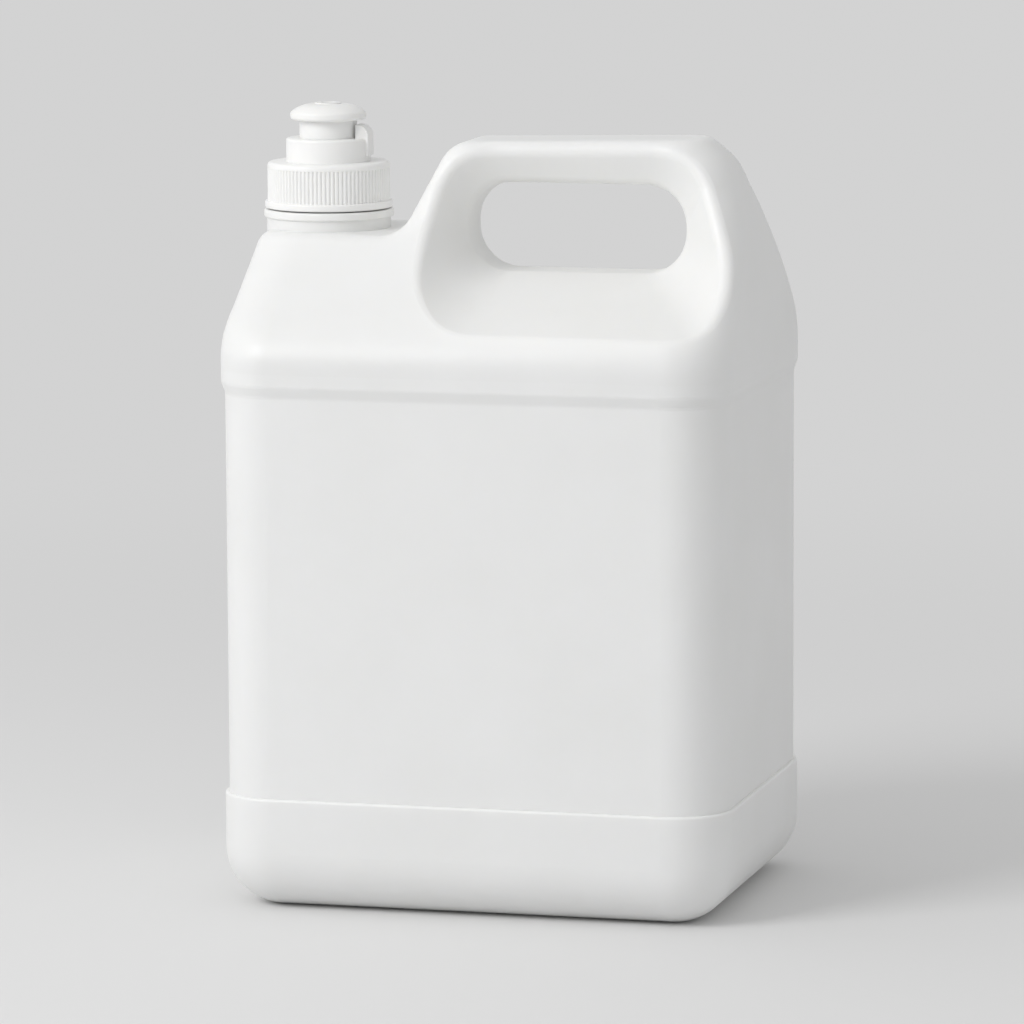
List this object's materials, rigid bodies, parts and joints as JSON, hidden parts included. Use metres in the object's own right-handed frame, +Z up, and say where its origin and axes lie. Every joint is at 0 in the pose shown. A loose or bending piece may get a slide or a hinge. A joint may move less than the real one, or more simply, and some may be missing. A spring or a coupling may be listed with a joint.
{
  "type": "plastic jug",
  "caption": "Blank white rectangular plastic jug with a recessed panel, a dished through handle, and a ribbed screw closure carrying a pull-up pouring spout.",
  "frame": {"origin": "centre of the base, on the surface the jug stands on", "axes": "+Z up, +X along the wide front towards the handle end, -Y out of the front face"},
  "size_m": [0.18, 0.1378, 0.2735],
  "materials": {
    "jug_plastic": "satin",
    "liner_foam": "matte",
    "closure_plastic": "gloss",
    "spout_plastic": "gloss"
  },
  "bodies": {
    "jug": {"jug_body": "jug_plastic"},
    "liner": {"seal_liner": "liner_foam"},
    "cap": {"closure": "closure_plastic"},
    "spout": {"pull_spout": "spout_plastic"}
  },
  "joints": [
    {"name": "closure_lift", "type": "slide", "parent": "jug", "child": "liner", "axis": [0, 0, 1], "range_m": [0, 0.0064]},
    {"name": "closure_turn", "type": "hinge", "parent": "liner", "child": "cap", "pos_m": [-0.066, 0, 0.2532], "axis": [0, 0, 1], "range_deg": [0, 540]},
    {"name": "spout_pull", "type": "slide", "parent": "cap", "child": "spout", "axis": [0, 0, 1], "range_m": [0, 0.005]}
  ],
  "couplings": [
    {"joint": "closure_lift", "follows": "closure_turn", "m_per_rad": 0.00066845}
  ]
}
